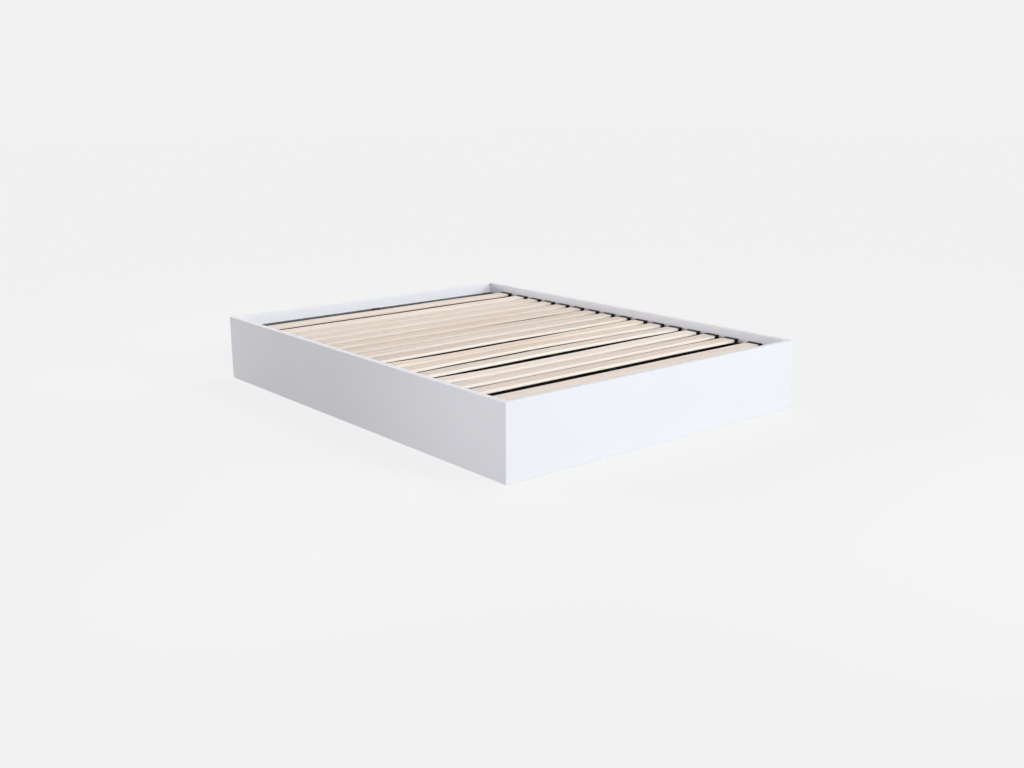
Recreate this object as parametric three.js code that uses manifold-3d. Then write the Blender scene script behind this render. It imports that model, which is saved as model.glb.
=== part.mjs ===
// Low platform bed base. Four mitred white boards stand on the floor round a black steel
// rail frame. Sixteen flat slats lie across it in plastic end holders, over a centre beam
// on two screw-in legs.
// Millimetres, +Z up. The origin is on the floor below the middle of the base, the head
// end is +Y and the right side, seen from the foot, is +X.
import * as THREE from 'three';
import { mergeVertices } from 'three/addons/utils/BufferGeometryUtils.js';
import Module from 'manifold-3d';

const wasm = await Module();
wasm.setup();

// Boards round the base
const innerWidth = 1550;
const innerLength = 2050;
const boardThickness = 25;
const boardHeight = 300;
const mitreGap = 0.3;

// Fits between pieces
const seatGap = 0.3;
const boltGap = 0.3;
const overrun = 5;

// Sides of the round pieces and of the small holder pegs
const roundSides = 24;
const pegSides = 8;

// Slats
const slatCount = 16;
const slatWidth = 66;
const slatThickness = 13;
const slatEdgeRadius = 2;
const endSlatRoom = 126;
const endSlatSpacing = 135;
const slatRecess = 37;

// Plastic holders on the slat ends
const holderDepth = 26;
const holderBoardGap = 0.8;
const holderSideWall = 1.7;
const holderTopWall = 1.6;
const holderFloor = 2;
const holderEndWall = 2.5;
const holderCornerRadius = 2;
const pegRadius = 4;
const pegLength = 9;
const pegSpacing = 36;

// Steel angle rails
const railFlangeWidth = 40;
const railLegHeight = 40;
const railThickness = 3;

// Steel centre beam, which the slats only reach when they are loaded
const beamWidth = 50;
const beamHeight = 30;
const beamWall = 2;
const beamSlatGap = 8;
const beamRailGap = 1;
const tongueReach = 30;
const bossRadius = 11;
const bossHeight = 8;

// Screw-in centre legs
const legSpacing = 700;
const legRadius = 19;
const footRadius = 30;
const footRimHeight = 6;
const footFlareHeight = 8;
const footArris = 2;
const studRadius = 5;
const studTipChamfer = 1.5;
const studReach = 10;
const legThreadRoom = 13;

// Dust cover under the rails
const coverThickness = 1;
const coverLegGap = 3;

// Heights and half sizes that follow from the values above
const halfInnerWidth = innerWidth / 2;
const halfInnerLength = innerLength / 2;
const slatTop = boardHeight - slatRecess;
const slatUnderside = slatTop - slatThickness;
const holderBottom = slatUnderside - seatGap - holderFloor;
const holderHeight = holderFloor + slatThickness + 2 * seatGap + holderTopWall;
const holderWidth = slatWidth + 2 * (seatGap + holderSideWall);
const holderEnd = halfInnerWidth - holderBoardGap;
const flangeTop = holderBottom - seatGap;
const railBottom = flangeTop - railLegHeight;
const beamTop = slatUnderside - beamSlatGap;
const beamBottom = beamTop - beamHeight;
const tongueBottom = flangeTop + seatGap;
const tongueTop = tongueBottom + beamWall;
const bossBottom = beamBottom - bossHeight;
const legPlaces = { head: legSpacing / 2, foot: -legSpacing / 2 };

// Rounds of a quarter circle are drawn with this many steps, doubled by the extrusion
const cornerSteps = 1;
const quarterTurn = Math.PI / 2;

const finishes = {
  whiteBoard: { color: 0xf3f4f8, roughness: 0.45, metalness: 0 },
  paleWood: { color: 0xe3d3bf, roughness: 0.6, metalness: 0 },
  blackPlastic: { color: 0x151516, roughness: 0.5, metalness: 0 },
  blackSteel: { color: 0x1b1b1d, roughness: 0.45, metalness: 0.6 },
  blackCloth: { color: 0x0e0e0f, roughness: 0.95, metalness: 0 },
};

// A named mesh with a material of its own
function piece(name, geometry, finish) {
  const mesh = new THREE.Mesh(geometry, new THREE.MeshStandardMaterial(finishes[finish]));
  mesh.name = name;
  return mesh;
}

// Closed geometry to a solid that can be joined and cut
function solidOf(geometry) {
  const bare = new THREE.BufferGeometry();
  bare.setAttribute('position', geometry.getAttribute('position'));
  bare.setIndex(geometry.getIndex());
  const merged = mergeVertices(bare);
  const corners = merged.getIndex().array;
  const faces = [];
  for (let i = 0; i < corners.length; i += 3) {
    const [a, b, c] = corners.slice(i, i + 3);
    if (a !== b && b !== c && c !== a) faces.push(a, b, c);
  }
  return new wasm.Manifold(new wasm.Mesh({
    numProp: 3,
    vertProperties: new Float32Array(merged.getAttribute('position').array),
    triVerts: new Uint32Array(faces),
  }));
}

function geometryOf(solid) {
  const mesh = solid.getMesh();
  const geometry = new THREE.BufferGeometry();
  geometry.setAttribute('position', new THREE.BufferAttribute(mesh.vertProperties, mesh.numProp));
  geometry.setIndex(new THREE.BufferAttribute(mesh.triVerts, 1));
  geometry.computeVertexNormals();
  return geometry;
}

// A box given by its lowest and highest corners
function box(low, high) {
  const size = high.map((value, axis) => value - low[axis]);
  const middle = high.map((value, axis) => (value + low[axis]) / 2);
  return new THREE.BoxGeometry(...size).translate(...middle);
}

// An upright cylinder standing on the height given
function post(radius, bottom, height, sides) {
  return new THREE.CylinderGeometry(radius, radius, height, sides)
    .rotateX(quarterTurn)
    .translate(0, 0, bottom + height / 2);
}

function roundedRectangle(width, height, radius) {
  const x = width / 2;
  const y = height / 2;
  const shape = new THREE.Shape();
  shape.moveTo(x, y - radius);
  shape.absarc(x - radius, y - radius, radius, 0, quarterTurn);
  shape.absarc(radius - x, y - radius, radius, quarterTurn, 2 * quarterTurn);
  shape.absarc(radius - x, radius - y, radius, 2 * quarterTurn, 3 * quarterTurn);
  shape.absarc(x - radius, radius - y, radius, 3 * quarterTurn, 4 * quarterTurn);
  return shape;
}

// An upright bar on the +Y side of the base, mitred at both ends. Its outer face lies at
// the distance given from the middle and is twice the half length long.
function mitredBar(distance, halfLength, thickness, bottom, height) {
  const outer = halfLength - mitreGap / Math.SQRT2;
  const inner = outer - thickness;
  const plan = new THREE.Shape([
    new THREE.Vector2(-outer, distance),
    new THREE.Vector2(-inner, distance - thickness),
    new THREE.Vector2(inner, distance - thickness),
    new THREE.Vector2(outer, distance),
  ]);
  return new THREE.ExtrudeGeometry(plan, { depth: height, bevelEnabled: false })
    .translate(0, 0, bottom);
}

// The four sides of the base: the turn that brings the +Y side there, the distance from
// the middle to the board's inner face, and half the inner length of that side
const sides = {
  head: { turn: 0, distance: halfInnerLength, half: halfInnerWidth },
  foot: { turn: 2 * quarterTurn, distance: halfInnerLength, half: halfInnerWidth },
  left: { turn: quarterTurn, distance: halfInnerWidth, half: halfInnerLength },
  right: { turn: -quarterTurn, distance: halfInnerWidth, half: halfInnerLength },
};

function makeBoard(name, side) {
  const outerDistance = side.distance + boardThickness;
  const outerHalf = side.half + boardThickness;
  const board = mitredBar(outerDistance, outerHalf, boardThickness, 0, boardHeight);
  const mesh = piece(name, board, 'whiteBoard');
  mesh.rotation.z = side.turn;
  return mesh;
}

// Places of the slats from the head to the foot. The first and the last lie a little
// further from their neighbours, and the others share the length between evenly.
function slatPlaces() {
  const first = halfInnerLength - endSlatRoom - slatWidth / 2;
  const second = first - endSlatSpacing;
  const lastInner = slatCount - 3;
  const inner = Array.from({ length: slatCount - 2 }, (_, i) => second - (2 * second * i) / lastInner);
  return [first, ...inner, -first];
}

// Across the rail flange, a holder's pegs stand in the middle of the holder
const pegInset = holderBoardGap + holderDepth / 2;

// Steel angle screwed to a board's inner face, with a hole for each holder peg. The
// holder places are alike from both ends, so they serve the left and the right rail.
function makeRail(name, side, holderPlaces) {
  const face = side.distance - seatGap;
  const half = side.half - seatGap;
  const flange = mitredBar(face, half, railFlangeWidth, flangeTop - railThickness, railThickness);
  const leg = mitredBar(face, half, railThickness, railBottom, railLegHeight);
  let rail = solidOf(flange).add(solidOf(leg));
  for (const place of holderPlaces) {
    for (const offset of [-pegSpacing / 2, pegSpacing / 2]) {
      const low = flangeTop - railThickness - overrun;
      const height = railThickness + 2 * overrun;
      const hole = post(pegRadius + boltGap, low, height, pegSides);
      hole.translate(place + offset, side.distance - pegInset, 0);
      rail = rail.subtract(solidOf(hole));
    }
  }
  const mesh = piece(name, geometryOf(rail), 'blackSteel');
  mesh.rotation.z = side.turn;
  return mesh;
}

function makeSlat(name, place) {
  const length = 2 * (holderEnd - holderEndWall - seatGap);
  const section = roundedRectangle(slatWidth, slatThickness, slatEdgeRadius);
  const slat = new THREE.ExtrudeGeometry(section, {
    depth: length,
    bevelEnabled: false,
    curveSegments: cornerSteps,
  });
  slat.translate(0, 0, -length / 2).rotateX(quarterTurn).rotateZ(quarterTurn);
  const mesh = piece(name, slat, 'paleWood');
  mesh.position.set(0, place, slatTop - slatThickness / 2);
  return mesh;
}

// End holder with its outer end at the local origin, facing +Y, and its underside at zero
function holderGeometry() {
  const plan = roundedRectangle(holderWidth, holderDepth, holderCornerRadius);
  const body = new THREE.ExtrudeGeometry(plan, {
    depth: holderHeight,
    bevelEnabled: false,
    curveSegments: cornerSteps,
  });
  body.translate(0, -holderDepth / 2, 0);
  const halfPocket = slatWidth / 2 + seatGap;
  const pocket = box(
    [-halfPocket, -holderDepth - overrun, holderFloor],
    [halfPocket, -holderEndWall, holderHeight - holderTopWall],
  );
  let holder = solidOf(body).subtract(solidOf(pocket));
  for (const offset of [-pegSpacing / 2, pegSpacing / 2]) {
    const peg = post(pegRadius, -pegLength, pegLength + holderFloor / 2, pegSides);
    peg.translate(offset, -holderDepth / 2, 0);
    holder = holder.add(solidOf(peg));
  }
  return geometryOf(holder);
}

function makeHolder(name, side, place) {
  const mesh = piece(name, holderGeometry(), 'blackPlastic');
  const outward = side.turn > 0 ? -1 : 1;
  mesh.position.set(outward * holderEnd, place, holderBottom);
  mesh.rotation.z = side.turn;
  return mesh;
}

// Rectangular tube under the slats. Each end is closed by a plate that rises to a tongue,
// which lies on the end rail's flange. A threaded boss under each leg place takes the
// leg's stud.
function makeBeam(name) {
  const flangeEdge = halfInnerLength - seatGap - railFlangeWidth;
  const halfBody = flangeEdge - beamRailGap;
  const halfWidth = beamWidth / 2;
  let beam = solidOf(box([-halfWidth, -halfBody, beamBottom], [halfWidth, halfBody, beamTop]));
  for (const place of Object.values(legPlaces)) {
    const boss = post(bossRadius, bossBottom, bossHeight + beamWall / 2, roundSides);
    beam = beam.add(solidOf(boss.translate(0, place, 0)));
  }
  const halfHollow = halfBody - beamWall;
  beam = beam.subtract(solidOf(box(
    [beamWall - halfWidth, -halfHollow, beamBottom + beamWall],
    [halfWidth - beamWall, halfHollow, beamTop - beamWall],
  )));
  const tongueEnd = flangeEdge + tongueReach;
  const endPlate = box([-halfWidth, halfHollow, beamBottom], [halfWidth, halfBody, tongueTop]);
  const tongue = box([-halfWidth, halfHollow, tongueBottom], [halfWidth, tongueEnd, tongueTop]);
  for (const plate of [endPlate, tongue]) {
    beam = beam.add(solidOf(plate));
    beam = beam.add(solidOf(plate.rotateZ(2 * quarterTurn)));
  }
  for (const place of Object.values(legPlaces)) {
    const height = bossHeight + beamWall + 2 * overrun;
    const thread = post(studRadius + boltGap, bossBottom - overrun, height, roundSides);
    beam = beam.subtract(solidOf(thread.translate(0, place, 0)));
  }
  return piece(name, geometryOf(beam), 'blackSteel');
}

// Turned leg on a flared foot, with the stud that screws into the beam
function makeLeg(name, place) {
  const shoulder = bossBottom - legThreadRoom;
  const studTip = beamBottom + studReach;
  const flareTop = footRimHeight + footFlareHeight;
  const profile = [
    [0, 0],
    [footRadius - footArris, 0],
    [footRadius, footArris],
    [footRadius, footRimHeight],
    [legRadius, flareTop],
    [legRadius, shoulder],
    [studRadius, shoulder],
    [studRadius, studTip - studTipChamfer],
    [studRadius - studTipChamfer, studTip],
    [0, studTip],
  ].map(([radius, height]) => new THREE.Vector2(radius, height));
  const leg = new THREE.LatheGeometry(profile, roundSides).rotateX(quarterTurn);
  const mesh = piece(name, geometryOf(solidOf(leg)), 'blackPlastic');
  mesh.position.set(0, place, 0);
  return mesh;
}

// Cloth stretched across under the rails, with a round opening for each leg
function makeDustCover(name) {
  const halfWidth = halfInnerWidth - seatGap;
  const halfLength = halfInnerLength - seatGap;
  const sheet = new THREE.Shape([
    new THREE.Vector2(-halfWidth, -halfLength),
    new THREE.Vector2(halfWidth, -halfLength),
    new THREE.Vector2(halfWidth, halfLength),
    new THREE.Vector2(-halfWidth, halfLength),
  ]);
  for (const place of Object.values(legPlaces)) {
    const opening = new THREE.Path();
    opening.absarc(0, place, legRadius + coverLegGap, 0, 4 * quarterTurn);
    sheet.holes.push(opening);
  }
  const cover = new THREE.ExtrudeGeometry(sheet, {
    depth: coverThickness,
    bevelEnabled: false,
    curveSegments: roundSides / 2,
  });
  cover.translate(0, 0, railBottom - seatGap - coverThickness);
  return piece(name, cover, 'blackCloth');
}

const bedBase = new THREE.Group();
bedBase.name = 'platform_bed_base';

for (const [name, side] of Object.entries(sides)) {
  const isLongSide = name === 'left' || name === 'right';
  const boardName = isLongSide ? `${name}_side_panel` : `${name}_panel`;
  const railName = isLongSide ? `${name}_side_rail` : `${name}_rail`;
  bedBase.add(makeBoard(boardName, side));
  bedBase.add(makeRail(railName, side, isLongSide ? slatPlaces() : []));
}

slatPlaces().forEach((place, index) => {
  const number = String(index + 1).padStart(2, '0');
  bedBase.add(makeSlat(`slat_${number}`, place));
  bedBase.add(makeHolder(`slat_holder_left_${number}`, sides.left, place));
  bedBase.add(makeHolder(`slat_holder_right_${number}`, sides.right, place));
});

bedBase.add(makeBeam('centre_beam'));
bedBase.add(makeLeg('centre_leg_head', legPlaces.head));
bedBase.add(makeLeg('centre_leg_foot', legPlaces.foot));
bedBase.add(makeDustCover('dust_cover'));

export default bedBase;
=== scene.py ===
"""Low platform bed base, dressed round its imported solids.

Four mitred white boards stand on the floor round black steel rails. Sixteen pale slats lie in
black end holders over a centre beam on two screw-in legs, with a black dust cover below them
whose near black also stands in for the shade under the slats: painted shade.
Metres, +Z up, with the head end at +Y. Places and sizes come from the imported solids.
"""
import math
import random
from functools import cache

import bmesh
import bpy
from bpy.props import FloatProperty, FloatVectorProperty, IntProperty, PointerProperty
from mathutils import Matrix, Vector


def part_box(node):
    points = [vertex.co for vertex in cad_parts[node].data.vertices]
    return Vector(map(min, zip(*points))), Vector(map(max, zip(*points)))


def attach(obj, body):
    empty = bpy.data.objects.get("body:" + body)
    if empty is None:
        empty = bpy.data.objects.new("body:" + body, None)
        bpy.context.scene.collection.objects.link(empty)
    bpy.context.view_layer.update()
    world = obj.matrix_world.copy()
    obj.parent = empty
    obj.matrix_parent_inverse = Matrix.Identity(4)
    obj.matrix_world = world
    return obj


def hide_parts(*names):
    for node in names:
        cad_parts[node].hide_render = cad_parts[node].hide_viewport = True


bl_info = {
    "name": "Low platform bed base",
    "version": (1, 0, 0),
    "blender": (4, 5, 0),
    "location": "3D View > Sidebar > Bed base",
    "description": "Builds a low platform bed base with slats in end holders",
    "category": "Object",
}

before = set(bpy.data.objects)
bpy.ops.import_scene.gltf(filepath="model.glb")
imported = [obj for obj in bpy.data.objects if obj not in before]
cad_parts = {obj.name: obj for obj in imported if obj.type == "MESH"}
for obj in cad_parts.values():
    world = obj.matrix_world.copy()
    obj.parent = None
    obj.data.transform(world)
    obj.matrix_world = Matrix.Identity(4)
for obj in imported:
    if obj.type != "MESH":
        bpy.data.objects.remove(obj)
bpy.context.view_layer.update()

BASE = "bed_base"
X, Y, Z = Vector((1, 0, 0)), Vector((0, 1, 0)), Vector((0, 0, 1))
HALF_TURN = math.pi
QUARTER_TURN = math.pi / 2

# Outward direction of each side of the base
SIDES = {"head": Y, "foot": -Y, "left": -X, "right": X}
# Which way each corner lies from the middle, and the quarter turns that take a bracket there
CORNERS = (((1, 1), 0), ((-1, 1), 1), ((1, -1), 3), ((-1, -1), 2))
# Directions that the flat faces of square and of mitred pieces look in, either way
SQUARE_FLATS = (X, Y, Z)
MITRES = ((X + Y).normalized(), (X - Y).normalized())
SLAT_COUNT = sum(name.startswith("slat_") and name[5:].isdigit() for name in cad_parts)
LEG_ENDS = ("head", "foot")

# Two planes closer than this are taken as one
SAME_PLACE = 0.00002
# A face counts as square to a direction above this cosine
SQUARE_ON = 0.999
# Edges that fold by less than this are shaded smooth
SMOOTH_ANGLE = math.radians(35)
# Edges that fold by more than this get a small arris. The second is for the nut's corners
SHARP_FOLD = math.radians(60)
NUT_FOLD = math.radians(50)

# Steel rails, with the holes for the holders' pegs, the screws and the corner brackets
RAIL_THICKNESS = 0.003
FLANGE_WIDTH = 0.040
INNER_BEND = 0.001
STEEL_ARRIS = 0.0004
PEG_SPACING = 0.036
PEG_RADIUS = 0.004
PEG_LENGTH = 0.009
PEG_CLEARANCE = 0.0003
SCREW_RADIUS = 0.004
SCREW_HEIGHT = 0.0024
FIRST_SCREW = 0.060
SCREW_ABOVE_EDGE = 0.018
BRACKET_REACH = 0.060
BRACKET_THICKNESS = 0.003
BRACKET_HEIGHT = 0.100
BRACKET_FOOT = 0.050
# Places of a bracket's screws, as shares of its reach and of its height
BRACKET_SCREW_REACH = 0.68
BRACKET_SCREW_HEIGHTS = (0.22, 0.78)
# Slats, their bending places left and right of the middle, and their holders
SLAT_CUTS = 32
BOW_STATION = 0.4
HOLDER_FLOOR = 0.002
HOLDER_ARRIS = 0.0005
POCKET_ROOM = 0.0003
# Centre beam, with its bosses, bolts and nuts
BEAM_WALL = 0.002
BEAM_CORNER = 0.003
BEAM_HEIGHT = 0.030
RAIL_GAP = 0.001
BOSS_RADIUS = 0.011
BOSS_HEIGHT = 0.008
THREAD_HOLE = 0.0053
BOLT_RADIUS = 0.0055
BOLT_HEIGHT = 0.0035
BOLT_OFFSET = 0.012
BOLT_ROW = 1.000
# The dome of a bolt and the depth of a nut's bore are shares of the height, and the ring of
# metal round the bore is a share of the radius
BOLT_DOME_SHARE = 0.6
NUT_BORE_SHARE = 0.6
NUT_RING_SHARE = 0.42
# Centre legs. Heights are above the floor
PAD_THICKNESS = 0.002
LEG_FOOT_RIM = 0.006
LEG_FLARE_TOP = 0.014
LEG_SHOULDER = 0.191
LEG_RADIUS = 0.019
LEG_ARRIS = 0.002
# Where the middle point of the leg's shoulder lies, as a share of the arris
ARRIS_MIDDLE = 0.3
LEG_SIDES = 40
STUD_RADIUS = 0.005
STUD_TIP = 0.0015
# Dust cover, with the radius of its openings and the half height of what cuts them
COVER_OPENING = 0.012
COVER_CUTTER = 0.02
COVER_SQUARES = (62, 82)
# Half the width of the strip in the cover's middle that hangs lowest
COVER_STRIP = 0.01

FLOOR_SIZE = 60.0
FLOOR_DROP = 0.0002
# How white the floor is where it shows real light to the camera
FLOOR_WHITE = 0.98
# Share of the floor that shows real light and shadow to the camera
FLOOR_SHADE = 0.15
# How much brighter the floor glows than the backdrop, because its shaded share is darker
FLOOR_LIFT = 1.027
# Width of the camera's picture in millimetres, and how far the camera sees in metres
PICTURE_WIDTH = 36.0
SIGHT_END = 100.0

# Colours of the lamps, close to white
COOL_WHITE = (0.957, 1.0, 0.995)
PLAIN_WHITE = (1.0, 0.995, 1.0)
WARM_WHITE = (1.0, 0.965, 0.965)
# Name, azimuth from the foot end, elevation, strength and colour of each distant soft light
SUNS = (
    ("foot_light", -20, 20, 1.18, COOL_WHITE),
    ("right_foot_light", 30, 20, 1.46, COOL_WHITE),
    ("left_light", -150, 15, 1.50, PLAIN_WHITE),
    ("right_light", 90, 55, 0.73, WARM_WHITE),
)
SUN_SPREAD = math.radians(25)
SUN_DISTANCE = 5.0
# Name, place, target, width, depth, power, spread in degrees and colour of each softbox
SOFTBOXES = (
    ("head_softbox", (0.2, 1.8, 2.0), (0.2, 0.8, 0.2), 1.6, 1.0, 9.6, 180, WARM_WHITE),
    ("foot_softbox", (0.6, -3.0, 1.0), (0.4, -1.0, 0.2), 2.0, 0.8, 8.4, 180, COOL_WHITE),
    ("near_left_softbox", (-2.8, -1.35, 0.8), (-0.8, -1.0, 0.15), 0.8, 0.8, 1.45, 70, PLAIN_WHITE),
    ("far_left_softbox", (-1.8, 2.0, 0.5), (-0.8, 1.0, 0.15), 0.5, 0.4, 0.35, 70, PLAIN_WHITE),
)

# Each slat from the head to the foot. First come its bows at the left quarter, the middle and the
# right quarter, up or down, as shares of the greatest bow. Then come how dark and how warm its
# wood is over the plain wood, where below 0 is paler, and how much painted light its side faces
# get.
# The darkness and warmth are partly the wood's own tone and partly painted light and shade: the
# slats towards the head are darker, and slats 10 and 13, which lie in their neighbours' shade, are
# paler. The slats towards the foot get the most painted light on their sides.
SLATS = (
    ((0.12, 0.06, 0.25), (0.25, 0.0, 0.3)),
    ((-0.06, -0.12, 0.06), (0.00, 0.0, 0.3)),
    ((-0.06, 0.00, 0.00), (0.42, 0.0, 0.3)),
    ((0.00, 0.06, 0.12), (0.35, 0.0, 0.3)),
    ((0.06, 0.06, 0.12), (0.50, 0.0, 0.3)),
    ((0.00, 0.03, 0.26), (0.50, 0.2, 0.3)),
    ((0.00, 0.00, -0.12), (0.57, 0.0, 0.3)),
    ((0.06, 0.18, 0.06), (0.35, 0.0, 0.5)),
    ((0.12, 0.25, 0.06), (0.57, 0.2, 1.0)),
    ((-0.62, -0.50, -0.12), (-0.15, 0.8, 1.0)),
    ((0.66, 0.92, 0.46), (0.24, 0.5, 1.0)),
    ((0.28, 0.58, 0.46), (0.22, 0.0, 1.0)),
    ((-0.72, -0.60, -0.20), (-0.30, 0.0, 1.0)),
    ((-0.12, -0.10, 0.00), (0.22, 0.0, 1.0)),
    ((0.12, 0.15, 0.24), (0.15, 0.3, 1.0)),
    ((-0.06, -0.06, 0.06), (-0.10, 0.0, 1.0)),
)
# Tints of the darkest and of the warmest wood over the palest, which also carry painted light and
# shade
DARKEST_SLAT = Vector((0.75, 0.71, 0.68))
WARMEST_SLAT = Vector((1.0, 0.94, 0.87))
# Where a slat's middle may lie in its log: along it, across it and out from its heart
LOG_ROOM = ((0, 40), (-0.03, 0.03), (0.02, 0.10))
# How fast the painted light on a slat's side faces sets in where a rounded edge turns to the side
SIDE_LIGHT_GAIN = 1.5

# Colours that are not settings
# Paler wood on the slats' side faces: painted light where the light falls on them
SIDE_LIGHT_WOOD = (1.0, 0.925, 0.86, 1.0)
RUBBED_COAT = (0.05, 0.05, 0.055, 1.0)
PALE_ZINC = (0.62, 0.62, 0.60, 1.0)
DARK_ZINC = (0.48, 0.49, 0.50, 1.0)
RUBBED_ZINC = (0.72, 0.72, 0.72, 1.0)
DARK_FELT = (0.10, 0.095, 0.09, 1.0)
PALE_FELT = (0.22, 0.21, 0.20, 1.0)
FELT_CLUMPS = (0.15, 0.145, 0.14, 1.0)
PLASTIC_DUST = (0.42, 0.38, 0.34, 1.0)
STEEL_DUST = (0.40, 0.37, 0.33, 1.0)
CLOTH_DUST = (0.30, 0.28, 0.26, 1.0)

# What the settings that are lengths, colours or turns have in common
LENGTH = {"subtype": "DISTANCE", "unit": "LENGTH"}
COLOUR = {"size": 4, "subtype": "COLOR", "min": 0.0, "max": 1.0}
TURN = {"subtype": "ANGLE", "unit": "ROTATION"}


# Settings that a user would change


class BEDBASE_PG_boards(bpy.types.PropertyGroup):
    arris: FloatProperty(
        name="Arris", description="Radius of the boards' long edges",
        default=0.0012, min=0.0, **LENGTH)
    mitre_arris: FloatProperty(
        name="Mitre arris", description="Radius of the edges round each mitre face",
        default=0.0004, min=0.0, **LENGTH)
    colour: FloatVectorProperty(
        name="Lacquer", description="Colour of the white lacquer",
        default=(0.885, 0.88, 0.935, 1.0), **COLOUR)


class BEDBASE_PG_slats(bpy.types.PropertyGroup):
    edge_radius: FloatProperty(
        name="Edge radius", description="Radius of the slats' long edges",
        default=0.002, min=0.0, **LENGTH)
    greatest_bow: FloatProperty(
        name="Greatest bow", description="How far a slat with a bow of 1 stands off the straight",
        default=0.008, **LENGTH)
    seed: IntProperty(
        name="Seed", description="Picks where in the log each slat was sawn", default=11)
    light: FloatVectorProperty(
        name="Early wood", description="Colour of the paler wood",
        default=(0.99, 0.875, 0.795, 1.0), **COLOUR)
    dark: FloatVectorProperty(
        name="Late wood", description="Colour of the darker grain lines",
        default=(0.74, 0.585, 0.485, 1.0), **COLOUR)


class BEDBASE_PG_holders(bpy.types.PropertyGroup):
    corner: FloatProperty(
        name="Corner radius", description="Radius of the holders' corners at the board",
        default=0.002, min=0.0, **LENGTH)
    colour: FloatVectorProperty(
        name="Plastic", description="Colour of the black plastic",
        default=(0.004, 0.004, 0.005, 1.0), **COLOUR)


class BEDBASE_PG_steel(bpy.types.PropertyGroup):
    bend: FloatProperty(
        name="Bend radius", description="Outer radius of the rails' bend",
        default=0.003, min=0.0, **LENGTH)
    screw_spacing: FloatProperty(
        name="Screw spacing", description="Greatest distance between rail screws",
        default=0.25, min=0.05, **LENGTH)
    colour: FloatVectorProperty(
        name="Powder coat", description="Colour of the steel's powder coat",
        default=(0.006, 0.006, 0.007, 1.0), **COLOUR)


class BEDBASE_PG_legs(bpy.types.PropertyGroup):
    thread_pitch: FloatProperty(
        name="Thread pitch", description="Distance between the stud's threads",
        default=0.0015, min=0.0005, **LENGTH)
    thread_depth: FloatProperty(
        name="Thread depth", description="Depth of the stud's threads",
        default=0.0006, min=0.0, **LENGTH)


class BEDBASE_PG_cover(bpy.types.PropertyGroup):
    sag: FloatProperty(
        name="Sag", description="How far the cover hangs in its middle",
        default=0.003, min=0.0, **LENGTH)
    thickness: FloatProperty(
        name="Thickness", description="Thickness of the cloth",
        default=0.0008, min=0.0002, **LENGTH)
    # The cloth's near black also stands in for the shade under the slats: painted shade
    colour: FloatVectorProperty(
        name="Cloth", description="Colour of the cloth",
        default=(0.003, 0.003, 0.0035, 1.0), **COLOUR)


class BEDBASE_PG_stage(bpy.types.PropertyGroup):
    camera_place: FloatVectorProperty(
        name="Camera place", description="Where the camera stands",
        default=(-3.2574, -4.0839, 1.3497), size=3, subtype="TRANSLATION", unit="LENGTH")
    azimuth: FloatProperty(
        name="Azimuth", description="Turn of the view from straight along the bed",
        default=math.radians(-39.349), **TURN)
    elevation: FloatProperty(
        name="Elevation", description="How far the view looks down",
        default=math.radians(14.120), **TURN)
    roll: FloatProperty(
        name="Roll", description="Turn of the picture about the line of sight",
        default=math.radians(-0.287), **TURN)
    lens: FloatProperty(
        name="Lens", description="Focal length on a 36 mm wide picture, in millimetres",
        default=41.09, min=1.0)
    backdrop: FloatProperty(
        name="Backdrop", description="Brightness of the floor and backdrop to the camera",
        default=0.887, min=0.0, max=1.0)
    sky: FloatProperty(
        name="Room light", description="Strength of the light from all round",
        default=0.11, min=0.0)
    floor_bounce: FloatProperty(
        name="Floor bounce", description="How much light the floor gives back to the object",
        default=0.25, min=0.0, max=1.0)


# Modelling helpers


def only(obj):
    """Leaves obj as the one selected and active object, in object mode."""
    if bpy.context.object and bpy.context.object.mode != "OBJECT":
        bpy.ops.object.mode_set(mode="OBJECT")
    bpy.ops.object.select_all(action="DESELECT")
    obj.select_set(True)
    bpy.context.view_layer.objects.active = obj


def settle(obj, name=None):
    """Puts the object's place, turn and size into its mesh."""
    only(obj)
    bpy.ops.object.transform_apply(location=True, rotation=True, scale=True)
    if name:
        obj.name = obj.data.name = name
    return obj


def add_box(name, low, high):
    """A box between two corners, the start of a piece."""
    bpy.ops.object.select_all(action="DESELECT")
    bpy.ops.mesh.primitive_cube_add(size=1, location=(low + high) / 2, scale=high - low)
    return settle(bpy.context.object, name)


def add_post(name, foot, height, radius, sides):
    """An upright round bar that stands on its foot point."""
    bpy.ops.object.select_all(action="DESELECT")
    bpy.ops.mesh.primitive_cylinder_add(
        vertices=sides, radius=radius, depth=height, location=foot + Z * height / 2)
    return settle(bpy.context.object, name)


def corners_of(obj):
    """Lowest and highest corner of an object whose place is in its mesh."""
    points = [v.co for v in obj.data.vertices]
    low = Vector(min(p[i] for p in points) for i in range(3))
    high = Vector(max(p[i] for p in points) for i in range(3))
    return low, high


def middle_of(node):
    """The middle of a solid's box."""
    return sum(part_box(node), Vector()) / 2


def start_edit(obj):
    only(obj)
    bpy.ops.object.mode_set(mode="EDIT")


def end_edit():
    bpy.ops.object.mode_set(mode="OBJECT")


def pick(obj, kind, test):
    """Selects the points, edges or faces that pass the test."""
    bpy.ops.mesh.select_mode(type=kind)
    bpy.ops.mesh.select_all(action="DESELECT")
    mesh = bmesh.from_edit_mesh(obj.data)
    for part in {"VERT": mesh.verts, "EDGE": mesh.edges, "FACE": mesh.faces}[kind]:
        if test(part):
            part.select_set(True)
    bmesh.update_edit_mesh(obj.data)


def pick_points(obj, test):
    """Selects the points whose place passes the test."""
    pick(obj, "VERT", lambda point: test(point.co))


def pick_edges(obj, test):
    """Selects the edges whose two ends pass the test."""
    pick(obj, "EDGE", lambda edge: test(edge.verts[0].co, edge.verts[1].co))


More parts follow.
